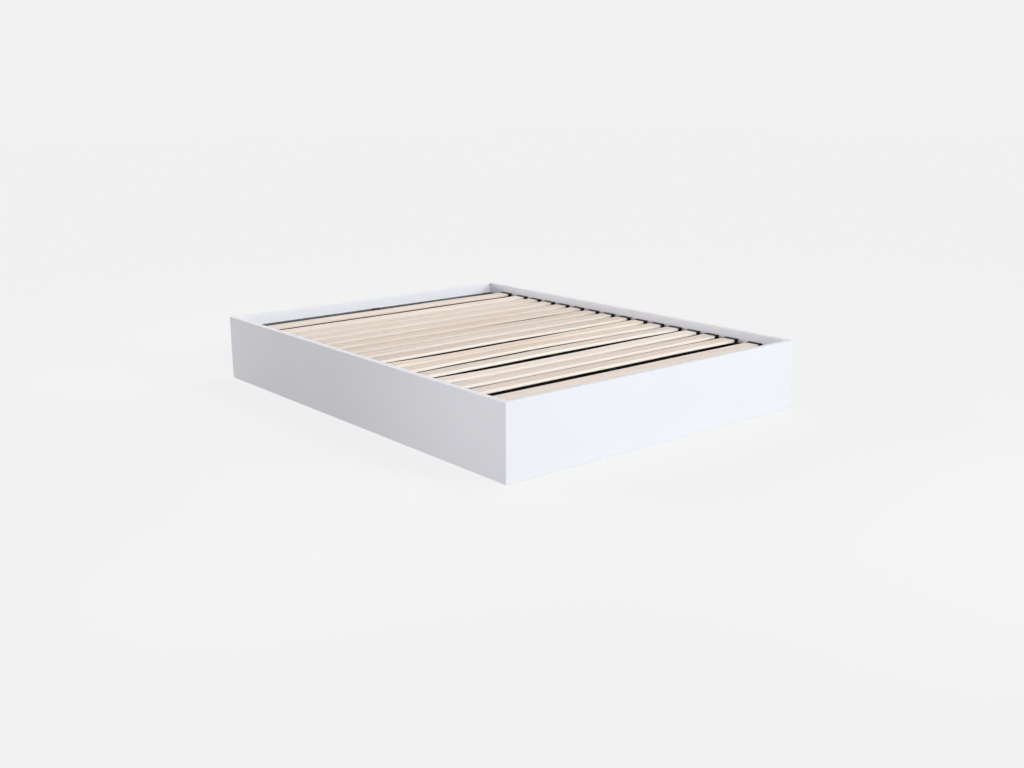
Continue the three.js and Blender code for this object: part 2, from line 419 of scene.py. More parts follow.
def pick_faces(obj, test):
    """Selects the faces whose middle and normal pass the test."""
    pick(obj, "FACE", lambda face: test(face.calc_center_median(), face.normal))


def pick_sharp(obj, angle, test=lambda a, b: True):
    """Selects the edges that fold by more than an angle, and whose ends pass the test."""
    def folds(edge):
        return len(edge.link_faces) == 2 and edge.calc_face_angle(0) > angle

    pick(obj, "EDGE", lambda edge: folds(edge) and test(edge.verts[0].co, edge.verts[1].co))


def along(direction):
    """A test for edges that run along a direction."""
    return lambda a, b: abs((a - b).normalized().dot(direction)) > SQUARE_ON


def bevel(width, segments):
    bpy.ops.mesh.bevel(offset=width, segments=segments, affect="EDGES", clamp_overlap=True)


def extrude(move):
    bpy.ops.mesh.extrude_region_move(TRANSFORM_OT_translate={"value": move})


def pull(height, reach):
    """Moves the selected points up or down, and what lies within reach less and less."""
    bpy.ops.transform.translate(
        value=(0, 0, height), use_proportional_edit=True,
        proportional_edit_falloff="SMOOTH", proportional_size=reach)


def slice_at(point, normal, drop=False):
    """Cuts the whole mesh at a plane. With drop, what lies beyond it goes."""
    bpy.ops.mesh.select_all(action="SELECT")
    bpy.ops.mesh.bisect(plane_co=point, plane_no=normal, use_fill=drop, clear_outer=drop)


def weld(obj):
    """Merges points that lie in one place, so that no empty faces are left."""
    start_edit(obj)
    bpy.ops.mesh.select_all(action="SELECT")
    bpy.ops.mesh.remove_doubles(threshold=SAME_PLACE)
    end_edit()


def finish_with(obj, kind, **values):
    """Adds a modifier and applies it."""
    only(obj)
    modifier = obj.modifiers.new(kind.title(), kind)
    for key, value in values.items():
        setattr(modifier, key, value)
    bpy.ops.object.modifier_apply(modifier=modifier.name)


def combine(obj, tool, operation):
    """Joins or cuts obj with a tool shape, which is then removed."""
    finish_with(obj, "BOOLEAN", object=tool, operation=operation, solver="EXACT")
    bpy.data.objects.remove(tool)


def join(objects, name):
    """Makes several loose solids one object."""
    only(objects[0])
    for obj in objects[1:]:
        obj.select_set(True)
    bpy.ops.object.join()
    return settle(bpy.context.object, name)


def copy_of(source, name, matrix):
    """A copy of a piece with its own mesh, moved by a matrix."""
    only(source)
    bpy.ops.object.duplicate()
    twin = bpy.context.object
    twin.matrix_world = matrix
    return settle(twin, name)


def turned(angle, move=Vector()):
    """The matrix of a turn about the upright axis through the origin, then a move."""
    return Matrix.Translation(move) @ Matrix.Rotation(angle, 4, "Z")


def mark_arrises(obj, flats, round_walls=False):
    """Marks rounded and sloping edge faces for the wear mask, but no upright round walls."""
    mask = obj.data.attributes.new("arris", "FLOAT", "FACE")
    for face in obj.data.polygons:
        is_flat = any(abs(face.normal.dot(flat)) > SQUARE_ON for flat in flats)
        is_wall = round_walls and abs(face.normal.z) < 1 - SQUARE_ON
        mask.data[face.index].value = 0.0 if is_flat or is_wall else 1.0


def shade(obj):
    """Shades round faces smooth, and keeps the wide flat faces between them flat."""
    only(obj)
    bpy.ops.object.shade_smooth_by_angle(angle=SMOOTH_ANGLE)
    finish_with(obj, "WEIGHTED_NORMAL", keep_sharp=True)


def set_out(obj, material, body=BASE, stands_for=()):
    """Gives a finished piece its material, its body and the solids that it stands for."""
    obj.data.materials.clear()
    obj.data.materials.append(material)
    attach(obj, body)
    if stands_for:
        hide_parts(*stands_for)


# Shader helpers and the node groups that materials share


def add_node(tree, kind, props=None, inputs=None):
    """A node with its properties, and with values or links on its inputs."""
    node = tree.nodes.new(kind)
    for key, value in (props or {}).items():
        setattr(node, key, value)
    for key, value in (inputs or {}).items():
        if isinstance(value, bpy.types.NodeSocket):
            tree.links.new(value, node.inputs[key])
        else:
            node.inputs[key].default_value = value
    return node


def math_node(tree, operation, *values):
    node = add_node(tree, "ShaderNodeMath", {"operation": operation}, dict(enumerate(values)))
    return node.outputs[0]


def plus(tree, first, second):
    return math_node(tree, "ADD", first, second)


def times(tree, product, *values):
    """The product of values, from left to right."""
    for value in values:
        product = math_node(tree, "MULTIPLY", product, value)
    return product


def scaled(tree, vector, sizes):
    node = add_node(tree, "ShaderNodeVectorMath", {"operation": "MULTIPLY"}, {0: vector, 1: sizes})
    return node.outputs[0]


def remap(tree, value, low, high, to_low=0.0, to_high=1.0):
    node = add_node(tree, "ShaderNodeMapRange", inputs={
        "Value": value, "From Min": low, "From Max": high, "To Min": to_low, "To Max": to_high})
    return node.outputs["Result"]


def mixed(tree, factor, first, second, blend="MIX"):
    """A mix of two colours. Inputs 6 and 7 of the node are its colours."""
    node = add_node(tree, "ShaderNodeMix", {"data_type": "RGBA", "blend_type": blend},
                    {0: factor, 6: first, 7: second})
    return node.outputs[2]


def attribute(tree, name, output="Fac"):
    return add_node(tree, "ShaderNodeAttribute", {"attribute_name": name}).outputs[output]


def object_place(tree):
    return add_node(tree, "ShaderNodeTexCoord").outputs["Object"]


def noise(tree, place, scale, detail, **more):
    """The value of a noise texture at a place."""
    inputs = {"Vector": place, "Scale": scale, "Detail": detail, **more}
    return add_node(tree, "ShaderNodeTexNoise", inputs=inputs).outputs[0]


def cells(tree, place, randomness):
    """The outputs of a flat cell texture."""
    return add_node(tree, "ShaderNodeTexVoronoi", {"voronoi_dimensions": "2D"}, {
        "Vector": place, "Scale": 1.0, "Randomness": randomness}).outputs


def shader_group(name, inputs, outputs):
    """A new shader node group of floats: its tree, the values given to it and its results."""
    tree = bpy.data.node_groups.new(name, "ShaderNodeTree")
    for label, value in inputs.items():
        socket = tree.interface.new_socket(
            name=label, in_out="INPUT", socket_type="NodeSocketFloat")
        socket.default_value = value
    for label in outputs:
        tree.interface.new_socket(name=label, in_out="OUTPUT", socket_type="NodeSocketFloat")
    return tree, tree.nodes.new("NodeGroupInput").outputs, tree.nodes.new("NodeGroupOutput").inputs


def use_group(tree, group, inputs=None):
    """Places a node group in a material. Returns its outputs."""
    return add_node(tree, "ShaderNodeGroup", {"node_tree": group}, inputs).outputs


@cache
def mottle_group():
    """Soft unevenness over a surface, between a low and a high value."""
    tree, given, results = shader_group(
        "Mottle", {"Scale": 10.0, "Detail": 3.0, "Low": 0.0, "High": 1.0}, ["Value"])
    cloud = noise(tree, object_place(tree), given["Scale"], given["Detail"])
    value = remap(tree, cloud, 0.3, 0.7, given["Low"], given["High"])
    tree.links.new(value, results["Value"])
    return tree


@cache
def arris_wear_group():
    """Uneven rubbing along the rounded edges."""
    tree, given, results = shader_group("Arris wear", {"Scale": 60.0, "Amount": 0.5}, ["Mask"])
    cloud = noise(tree, object_place(tree), given["Scale"], detail=4.0)
    patches = remap(tree, cloud, 0.42, 0.62)
    mask = times(tree, attribute(tree, "arris"), patches, given["Amount"])
    tree.links.new(mask, results["Mask"])
    return tree


@cache
def dust_group():
    """Fine dust that settles on faces that look up."""
    tree, given, results = shader_group("Settled dust", {"Scale": 35.0, "Amount": 0.2}, ["Mask"])
    normal = add_node(tree, "ShaderNodeNewGeometry").outputs["Normal"]
    up = add_node(tree, "ShaderNodeSeparateXYZ", inputs={0: normal}).outputs["Z"]
    facing = remap(tree, up, 0.3, 1.0)
    cloud = noise(tree, object_place(tree), given["Scale"], detail=5.0)
    mask = times(tree, facing, remap(tree, cloud, 0.35, 0.75), given["Amount"])
    tree.links.new(mask, results["Mask"])
    return tree


@cache
def grain_group():
    """Growth rings, streaks, pores and pin knots of a flat-sawn slat, from its place in the log."""
    tree, given, results = shader_group(
        "Slat grain",
        {"Ring spacing": 0.0045, "Wander": 0.012, "Taper": 0.010, "Knot chance": 0.08},
        ["Rings", "Streaks", "Pores", "Knots"])
    log = attribute(tree, "log_place", "Vector")

    # A knot's core fills the middle of some cells, and the rings swell round it
    knots = cells(tree, scaled(tree, log, (9.0, 17.0, 0.0)), randomness=1.0)
    chosen = add_node(tree, "ShaderNodeSeparateColor", inputs={0: knots["Color"]}).outputs[0]
    kept = math_node(tree, "LESS_THAN", chosen, given["Knot chance"])
    core = remap(tree, knots["Distance"], 0.02, 0.045, 1.0, 0.0)
    swell = remap(tree, knots["Distance"], 0.0, 0.22, 1.0, 0.0)
    tree.links.new(times(tree, core, kept), results["Knots"])

    # Rings go by the distance from the log's heart, which wanders and grows along the log
    drift = noise(tree, scaled(tree, log, (1.7, 9.0, 9.0)), scale=1.0, detail=2.0)
    wander = times(tree, drift, given["Wander"])
    across = add_node(tree, "ShaderNodeVectorMath", {"operation": "LENGTH"}, {
        0: scaled(tree, log, (0.0, 1.0, 1.0))}).outputs["Value"]
    length = add_node(tree, "ShaderNodeSeparateXYZ", inputs={0: log}).outputs["X"]
    taper = times(tree, length, given["Taper"])
    bulge = times(tree, swell, kept, 0.006)
    radius = plus(tree, plus(tree, across, wander), plus(tree, taper, bulge))
    season = math_node(tree, "FRACT", math_node(tree, "DIVIDE", radius, given["Ring spacing"]))
    tree.links.new(math_node(tree, "POWER", season, 2.4), results["Rings"])

    # Streaks and pores are long along the log and fine across it
    streaks = noise(tree, scaled(tree, log, (1.5, 95.0, 95.0)), scale=1.0, detail=4.0,
                    Roughness=0.6)
    tree.links.new(remap(tree, streaks, 0.37, 0.65), results["Streaks"])
    pores = noise(tree, scaled(tree, log, (35.0, 1100.0, 1100.0)), scale=1.0, detail=1.0)
    tree.links.new(remap(tree, pores, 0.6, 0.74), results["Pores"])
    return tree


@cache
def fibre_group():
    """Pressed dots and random fibres of a non-woven cloth."""
    tree, given, results = shader_group(
        "Non-woven cloth", {"Dot spacing": 0.0024, "Fibre scale": 900.0}, ["Dots", "Fibres"])
    place = object_place(tree)
    spread = add_node(tree, "ShaderNodeVectorMath", {"operation": "SCALE"}, {
        0: place, "Scale": math_node(tree, "DIVIDE", 1.0, given["Dot spacing"])}).outputs[0]
    slanted = add_node(tree, "ShaderNodeMapping", inputs={
        "Vector": spread, "Rotation": (0.0, 0.0, math.radians(45))}).outputs[0]
    dots = remap(tree, cells(tree, slanted, randomness=0.0)["Distance"], 0.22, 0.34)
    tree.links.new(dots, results["Dots"])
    fibres = noise(tree, scaled(tree, place, (1.0, 0.35, 1.0)), given["Fibre scale"], detail=3.0,
                   Distortion=1.2)
    tree.links.new(fibres, results["Fibres"])
    return tree


def mottle(tree, scale, low=0.0, high=1.0, detail=3.0):
    """Soft unevenness of a size that scale sets."""
    values = {"Scale": scale, "Detail": detail, "Low": low, "High": high}
    return use_group(tree, mottle_group(), values)["Value"]


def wear(tree, scale, amount):
    """The share of a face that is rubbed."""
    return use_group(tree, arris_wear_group(), {"Scale": scale, "Amount": amount})["Mask"]


def dust(tree, scale, amount):
    """The share of a face that dust covers."""
    return use_group(tree, dust_group(), {"Scale": scale, "Amount": amount})["Mask"]


# Materials


def new_material(name, specular=0.5, metallic=0.0):
    """A new material and its node tree, with what is the same all over the surface."""
    material = bpy.data.materials.new(name)
    material.use_nodes = True
    tree = material.node_tree
    shader = tree.nodes["Principled BSDF"]
    shader.inputs["Specular IOR Level"].default_value = specular
    shader.inputs["Metallic"].default_value = metallic
    return material, tree


def finished(material, colour, roughness, height, strength, distance):
    """Links colour, roughness and a bump to a material's shader."""
    tree = material.node_tree
    shader = tree.nodes["Principled BSDF"]
    bump = add_node(tree, "ShaderNodeBump", inputs={
        "Height": height, "Strength": strength, "Distance": distance})
    tree.links.new(colour, shader.inputs["Base Color"])
    tree.links.new(roughness, shader.inputs["Roughness"])
    tree.links.new(bump.outputs["Normal"], shader.inputs["Normal"])
    return material


def toned(colour, factor):
    """A colour made darker or lighter by a factor."""
    return (colour[0] * factor, colour[1] * factor, colour[2] * factor, 1.0)


def grey(level):
    return (level, level, level, 1.0)


@cache
def white_lacquer():
    """Satin white lacquer with faint orange peel."""
    colour = tuple(bpy.context.scene.bedbase_boards.colour)
    material, tree = new_material("white_lacquer")
    worn = wear(tree, scale=45.0, amount=0.35)
    base = mixed(tree, mottle(tree, scale=3.0), colour, toned(colour, 0.985))
    base = mixed(tree, worn, base, toned(colour, 0.93))
    satin = mottle(tree, scale=22.0, low=0.40, high=0.48)
    rubbed = math_node(tree, "SUBTRACT", satin, times(tree, worn, 0.2))
    peel = mottle(tree, scale=420.0, detail=2.0)
    return finished(material, base, rubbed, peel, strength=0.06, distance=0.0001)


@cache
def pale_wood():
    """Planed pale wood with faint rings, streaks, pores and a few pin knots, with painted light on
    the slats' side faces and painted light and shade in each slat's tint.
    """
    settings = bpy.context.scene.bedbase_slats
    light, dark = tuple(settings.light), tuple(settings.dark)
    material, tree = new_material("pale_wood", specular=0.35)
    grain = use_group(tree, grain_group())
    rings, streaks, pores = grain["Rings"], grain["Streaks"], grain["Pores"]
    depth = plus(tree, times(tree, rings, 0.28), times(tree, streaks, 0.50))
    base = mixed(tree, depth, light, dark)
    base = mixed(tree, 1.0, base, attribute(tree, "slat_tone_and_shade", "Color"), blend="MULTIPLY")
    # Paler wood on the faces that look along the bed: painted light on the slats' side faces
    lit_side_colour = mixed(tree, depth, SIDE_LIGHT_WOOD, light)
    base = mixed(tree, attribute(tree, "painted_side_light"), base, lit_side_colour)
    base = mixed(tree, times(tree, pores, 0.35), base, toned(dark, 0.8))
    base = mixed(tree, times(tree, grain["Knots"], 0.75), base, toned(dark, 0.45))
    base = mixed(tree, wear(tree, scale=80.0, amount=0.4), base, light)
    rough = plus(tree, 0.56, times(tree, streaks, 0.12))
    height = math_node(tree, "SUBTRACT", times(tree, rings, 0.35), pores)
    return finished(material, base, rough, height, strength=0.25, distance=0.00015)


@cache
def black_plastic():
    """Moulded black plastic with a fine spark-eroded texture."""
    colour = tuple(bpy.context.scene.bedbase_holders.colour)
    material, tree = new_material("black_plastic", specular=0.18)
    base = mixed(tree, mottle(tree, scale=40.0), colour, toned(colour, 1.5))
    base = mixed(tree, wear(tree, scale=120.0, amount=0.5), base, toned(colour, 3.0))
    base = mixed(tree, dust(tree, scale=60.0, amount=0.05), base, PLASTIC_DUST)
    satin = mottle(tree, scale=90.0, low=0.48, high=0.62)
    sparks = mottle(tree, scale=1600.0, detail=1.0)
    return finished(material, base, satin, sparks, strength=0.12, distance=0.0001)


@cache
def powder_coat():
    """Black powder coat on steel, a little paler where it is rubbed."""
    colour = tuple(bpy.context.scene.bedbase_steel.colour)
    material, tree = new_material("powder_coat", specular=0.18)
    base = mixed(tree, wear(tree, scale=70.0, amount=0.6), colour, RUBBED_COAT)
    base = mixed(tree, dust(tree, scale=25.0, amount=0.06), base, STEEL_DUST)
    satin = mottle(tree, scale=30.0, low=0.38, high=0.52)
    peel = mottle(tree, scale=700.0, detail=2.0)
    return finished(material, base, satin, peel, strength=0.15, distance=0.0001)


@cache
def zinc():
    """Zinc plate of the brackets, screws and nuts."""
    material, tree = new_material("zinc_plate", metallic=1.0)
    base = mixed(tree, mottle(tree, scale=160.0), PALE_ZINC, DARK_ZINC)
    base = mixed(tree, wear(tree, scale=300.0, amount=0.7), base, RUBBED_ZINC)
    satin = mottle(tree, scale=420.0, low=0.28, high=0.42)
    scratches = mottle(tree, scale=1200.0, detail=2.0)
    return finished(material, base, satin, scratches, strength=0.08, distance=0.00005)


@cache
def black_cloth():
    """Black non-woven cloth with pressed dots, near black so that it stands in for the shade under
    the slats: painted shade.
    """
    colour = tuple(bpy.context.scene.bedbase_cover.colour)
    material, tree = new_material("black_cloth", specular=0.05)
    cloth = use_group(tree, fibre_group())
    base = mixed(tree, cloth["Fibres"], toned(colour, 0.7), toned(colour, 1.6))
    base = mixed(tree, cloth["Dots"], toned(colour, 0.6), base)
    base = mixed(tree, dust(tree, scale=12.0, amount=0.05), base, CLOTH_DUST)
    rough = remap(tree, cloth["Dots"], 0.0, 1.0, 0.6, 0.92)
    height = plus(tree, cloth["Dots"], times(tree, cloth["Fibres"], 0.4))
    return finished(material, base, rough, height, strength=0.5, distance=0.0002)


@cache
def grey_felt():
    """Pressed grey felt under the legs."""
    material, tree = new_material("grey_felt")
    hair = mottle(tree, scale=900.0, detail=6.0)
    base = mixed(tree, hair, DARK_FELT, PALE_FELT)
    base = mixed(tree, mottle(tree, scale=120.0, detail=4.0), base, FELT_CLUMPS)
    rough = remap(tree, hair, 0.0, 1.0, 0.85, 0.98)
    return finished(material, base, rough, hair, strength=0.6, distance=0.0004)


# Boards


def side_name(side, outward, kind):
    """The name of a solid of one side, whose long sides are called side panels and rails."""
    return f"{side}_{kind}" if outward.y else f"{side}_side_{kind}"


def cut_mitres(obj, outward):
    """Cuts both ends of a bar at 45 degrees, inwards from its outer corners."""
    sideways = Z.cross(outward)
    face = max(v.co.dot(outward) for v in obj.data.vertices)
    reach = max(v.co.dot(sideways) for v in obj.data.vertices)
    start_edit(obj)
    for direction in (sideways, -sideways):
        slice_at(direction * reach + outward * face, (direction - outward).normalized(), drop=True)
    end_edit()


def make_board(side, outward, settings):
    """One white board from its solid's size, with eased edges."""
    node = side_name(side, outward, "panel")
    board = add_box(f"board_{side}", *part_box(node))
    cut_mitres(board, outward)
    start_edit(board)
    pick_edges(board, along(Z.cross(outward)))
    bevel(settings.arris, segments=3)
    pick_faces(board, lambda middle, normal: any(
        abs(normal.dot(mitre)) > SQUARE_ON for mitre in MITRES))
    bpy.ops.mesh.region_to_loop()
    bevel(settings.mitre_arris, segments=2)
    end_edit()
    mark_arrises(board, (*SQUARE_FLATS, *MITRES))
    shade(board)
    set_out(board, white_lacquer(), stands_for=[node])


class BEDBASE_OT_boards(bpy.types.Operator):
    """Builds the four mitred white boards"""

    bl_idname = "bedbase.boards"
    bl_label = "Boards"

    def execute(self, context):
        for side, outward in SIDES.items():
            make_board(side, outward, context.scene.bedbase_boards)
        return {"FINISHED"}


# Steel rails, their screws and the corner brackets


def peg_places(side, number):
    """The feet of a holder's two pegs."""
    node = f"slat_holder_{side}_{number:02d}"
    middle = middle_of(node)
    return [Vector((middle.x, middle.y + offset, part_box(node)[0].z))
            for offset in (-PEG_SPACING / 2, PEG_SPACING / 2)]


def peg_cutter(side):
    """All the peg holes of one side rail, as one cutting shape."""
    places = [place for number in range(1, SLAT_COUNT + 1) for place in peg_places(side, number)]
    posts = [add_post("peg_hole", place, 4 * PEG_LENGTH, PEG_RADIUS + PEG_CLEARANCE, sides=20)
             for place in places]
    return join(posts, "peg_holes")


def make_rail(side, outward, settings):
    """One angle rail: a flange under the holders, folded down along the board."""
    node = side_name(side, outward, "rail")
    low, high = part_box(node)
    face = max(low.dot(outward), high.dot(outward))
    fold = face - RAIL_THICKNESS
    underside = high.z - RAIL_THICKNESS
    start, end = Vector((low.x, low.y, underside)), high.copy()
    axis = 0 if outward.x else 1
    if outward[axis] > 0:
        start[axis] = face - FLANGE_WIDTH
    else:
        end[axis] = FLANGE_WIDTH - face
    rail = add_box(f"angle_rail_{side}", start, end)
    cut_mitres(rail, outward)
    start_edit(rail)
    slice_at(outward * fold, outward)
    pick_faces(rail, lambda middle, normal: normal.z < -SQUARE_ON and middle.dot(outward) > fold)
    extrude((0, 0, low.z - underside))
    bends = ((face, high.z, settings.bend, 4), (fold, underside, INNER_BEND, 2))
    for distance, height, radius, segments in bends:
        pick_edges(rail, lambda a, b: all(
            abs(v.dot(outward) - distance) < SAME_PLACE and abs(v.z - height) < SAME_PLACE
            for v in (a, b)))
        bevel(radius, segments)
    pick_sharp(rail, SHARP_FOLD, along(Z.cross(outward)))
    bevel(STEEL_ARRIS, segments=2)
    end_edit()
    if outward.x:
        combine(rail, peg_cutter(side), "DIFFERENCE")
    weld(rail)
    mark_arrises(rail, (*SQUARE_FLATS, *MITRES))
    shade(rail)
    set_out(rail, powder_coat(), stands_for=[node])


def make_head(name, height, radius, sides, dome, segments, rim):
    """A fastener's domed head with a round recess, standing on its seat."""
    head = add_post(name, Vector(), height, radius, sides)
    start_edit(head)
    pick_edges(head, lambda a, b: min(a.z, b.z) > height - SAME_PLACE)
    bevel(dome, segments)
    pick_faces(head, lambda middle, normal: normal.z > SQUARE_ON)
    bpy.ops.mesh.inset(thickness=rim)
    extrude((0, 0, -height / 2))
    end_edit()
    mark_arrises(head, [Z], round_walls=True)
    shade(head)
    return head


def make_screw():
    """A low screw head for the rails and the brackets."""
    return make_head("screw_head", SCREW_HEIGHT, SCREW_RADIUS, sides=18,
                     dome=SCREW_HEIGHT / 2, segments=3, rim=SCREW_RADIUS / 6)


def put_screws(screw, name, places, inward):
    """Copies of a screw whose heads stand on places and look inward."""
    turn = inward.to_track_quat("Z", "Y").to_matrix().to_4x4()
    for number, place in enumerate(places, 1):
        twin = copy_of(screw, f"{name}_{number:02d}", Matrix.Translation(place) @ turn)
        set_out(twin, zinc())


class BEDBASE_OT_rails(bpy.types.Operator):
    """Builds the four angle rails with their screws"""

    bl_idname = "bedbase.rails"
    bl_label = "Rails"

    def execute(self, context):
        settings = context.scene.bedbase_steel
        screw = make_screw()
        for side, outward in SIDES.items():
            make_rail(side, outward, settings)
            low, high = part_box(side_name(side, outward, "rail"))
            sideways = Z.cross(outward)
            reach = max(abs(low.dot(sideways)), abs(high.dot(sideways))) - FIRST_SCREW
            seat = max(low.dot(outward), high.dot(outward)) - RAIL_THICKNESS
            spaces = math.ceil(2 * reach / settings.screw_spacing)
            height = Z * (low.z + SCREW_ABOVE_EDGE)
            places = [outward * seat + height + sideways * (2 * reach * i / spaces - reach)
                      for i in range(spaces + 1)]
            put_screws(screw, f"rail_screw_{side}", places, -outward)
        bpy.data.objects.remove(screw)
        return {"FINISHED"}


def make_bracket():
    """A corner bracket folded from plate, in the corner at the origin, along -X and -Y."""
    plate = add_box("bracket_plate", Vector((-BRACKET_REACH, -BRACKET_THICKNESS, 0)),
                    Vector((0, 0, BRACKET_HEIGHT)))
    start_edit(plate)
    slice_at(X * -BRACKET_THICKNESS, X)
    pick_faces(plate, lambda middle, normal: (
        normal.y < -SQUARE_ON and middle.x > -BRACKET_THICKNESS))
    extrude((0, BRACKET_THICKNESS - BRACKET_REACH, 0))
    pick_edges(plate, lambda a, b: all(v.x > -SAME_PLACE and v.y > -SAME_PLACE for v in (a, b)))
    bevel(BRACKET_THICKNESS, segments=4)
    pick_sharp(plate, SHARP_FOLD)
    bevel(STEEL_ARRIS, segments=2)
    end_edit()
    weld(plate)
    mark_arrises(plate, SQUARE_FLATS)
    shade(plate)
    return plate


class BEDBASE_OT_brackets(bpy.types.Operator):
    """Builds the four corner brackets with their screws"""

    bl_idname = "bedbase.brackets"
    bl_label = "Corner brackets"

    def execute(self, context):
        bracket, screw = make_bracket(), make_screw()
        inner_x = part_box("right_side_panel")[0].x
        inner_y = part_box("head_panel")[0].y
        for number, ((x, y), quarters) in enumerate(CORNERS, 1):
            turn = QUARTER_TURN * quarters
            place = Vector((x * inner_x, y * inner_y, BRACKET_FOOT))
            twin = copy_of(bracket, f"corner_bracket_{number}", turned(turn, place))
            set_out(twin, zinc())
            spin = Matrix.Rotation(turn, 3, "Z")
            for leg, along_leg, inward in (("a", -X, -Y), ("b", -Y, -X)):
                spots = [along_leg * BRACKET_REACH * BRACKET_SCREW_REACH
                         + Z * BRACKET_HEIGHT * share + inward * BRACKET_THICKNESS
                         for share in BRACKET_SCREW_HEIGHTS]
                put_screws(screw, f"bracket_screw_{number}{leg}",
                           [place + spin @ spot for spot in spots], spin @ inward)
        bpy.data.objects.remove(bracket)
        bpy.data.objects.remove(screw)
        return {"FINISHED"}


# Slats


def make_slat(settings):
    """One straight slat at the first slat's place, with eased edges and enough cuts to bend."""
    slat = add_box("sawn_slat", *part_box("slat_01"))
    low, high = corners_of(slat)
    start_edit(slat)
    pick_edges(slat, along(X))
    bevel(settings.edge_radius, segments=3)
    pick_faces(slat, lambda middle, normal: abs(normal.x) > SQUARE_ON)
    bpy.ops.mesh.region_to_loop()
    bevel(settings.edge_radius / 4, segments=1)
    for step in range(1, SLAT_CUTS):
        slice_at(X * (low.x + (high.x - low.x) * step / SLAT_CUTS), X)
    end_edit()
    return slat


def bow_slat(slat, shares, greatest):
    """Springs a slat up or down at its left quarter, middle and right quarter."""
    low, high = corners_of(slat)
    cut = (high.x - low.x) / SLAT_CUTS
    start_edit(slat)
    for station, share in zip((-BOW_STATION, 0.0, BOW_STATION), shares):
        if share:
            place = round((station - low.x) / cut) * cut + low.x
            pick_points(slat, lambda point: abs(point.x - place) < cut / 4)
            pull(share * greatest, BOW_STATION)
    end_edit()


def saw_from_log(slat, draw, depth, warmth, side_light):
    """Gives a slat its place in a log for the grain, the tint of its wood with painted light and
    shade, and the painted light on its side faces.
    """
    low, high = corners_of(slat)
    middle = (low + high) / 2
    start = Vector([draw.uniform(*room) for room in LOG_ROOM])
    flip = draw.choice((-1, 1))
    plain = Vector((1, 1, 1))
    colour = plain.lerp(DARKEST_SLAT, depth) * plain.lerp(WARMEST_SLAT, warmth)
    place = slat.data.attributes.new("log_place", "FLOAT_VECTOR", "POINT")
    for vertex in slat.data.vertices:
        offset = vertex.co - middle
        place.data[vertex.index].vector = start + Vector((offset.x, offset.y * flip, offset.z))
    # Painted light on the faces that look along the bed, the slats' sides
    edge = slat.data.attributes.new("painted_side_light", "FLOAT", "FACE")
    for face in slat.data.polygons:
        share = min(1.0, abs(face.normal.y) ** 2 * SIDE_LIGHT_GAIN)
        edge.data[face.index].value = side_light * share
    # The slat's tint: its wood's own tone with painted light and shade
    tone_and_shade = slat.data.attributes.new("slat_tone_and_shade", "FLOAT_COLOR", "POINT")
    for vertex in slat.data.vertices:
        tone_and_shade.data[vertex.index].color = (*colour, 1.0)


class BEDBASE_OT_slats(bpy.types.Operator):
    """Builds the slats, each sprung a little its own way"""

    bl_idname = "bedbase.slats"
    bl_label = "Slats"

    def execute(self, context):
        settings = context.scene.bedbase_slats
        draw = random.Random(settings.seed)
        first = make_slat(settings)
        start = corners_of(first)[0].y
        for number, (bows, tones_and_light) in enumerate(SLATS, 1):
            node = f"slat_{number:02d}"
            move = Y * (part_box(node)[0].y - start)
            slat = copy_of(first, f"pale_slat_{number:02d}", Matrix.Translation(move))
            mark_arrises(slat, SQUARE_FLATS)
            saw_from_log(slat, draw, *tones_and_light)
            bow_slat(slat, bows, settings.greatest_bow)
            shade(slat)
            set_out(slat, pale_wood(), stands_for=[node])
        bpy.data.objects.remove(first)
        return {"FINISHED"}


# Holders


def make_holder(settings):
    """The first left holder: a pocket open towards the slat, on two pegs."""
    low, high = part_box("slat_holder_left_01")
    slat_low, slat_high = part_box("slat_01")
    floor = slat_low.z - HOLDER_FLOOR
    holder = add_box("moulded_holder", Vector((low.x, low.y, floor)), high)
    start_edit(holder)
    pick_edges(holder, lambda a, b: along(Z)(a, b) and a.x < low.x + SAME_PLACE)
    bevel(settings.corner, segments=4)
    pick_edges(holder, lambda a, b: min(a.z, b.z) > high.z - SAME_PLACE)
    bevel(HOLDER_ARRIS, segments=2)
    end_edit()
    pocket = add_box(
        "pocket",
        Vector((slat_low.x - POCKET_ROOM, slat_low.y - POCKET_ROOM, slat_low.z)),
        Vector((high.x + HOLDER_FLOOR, slat_high.y + POCKET_ROOM, slat_high.z)))
    combine(holder, pocket, "DIFFERENCE")
    for place in peg_places("left", 1):
        peg = add_post("peg", place, floor - place.z + HOLDER_FLOOR / 2, PEG_RADIUS, sides=16)
        start_edit(peg)
        pick_edges(peg, lambda a, b: max(a.z, b.z) < place.z + SAME_PLACE)
        bevel(PEG_RADIUS / 4, segments=2)
        end_edit()
        combine(holder, peg, "UNION")
    mark_arrises(holder, SQUARE_FLATS, round_walls=True)
    shade(holder)
    return holder


class BEDBASE_OT_holders(bpy.types.Operator):
    """Builds the black holders at both ends of every slat"""

    bl_idname = "bedbase.holders"
    bl_label = "End holders"

    def execute(self, context):
        first = make_holder(context.scene.bedbase_holders)
        low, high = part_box("slat_holder_left_01")
        for side in ("left", "right"):
            for number in range(1, SLAT_COUNT + 1):
                node = f"slat_holder_{side}_{number:02d}"
                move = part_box(node)[0].y - low.y
                place = Matrix.Translation(Y * move)
                if side == "right":
                    place = turned(HALF_TURN, Y * (low.y + high.y + move))
                twin = copy_of(first, f"end_holder_{side}_{number:02d}", place)
                set_out(twin, black_plastic(), stands_for=[node])
        bpy.data.objects.remove(first)
        return {"FINISHED"}


# Centre beam and its legs


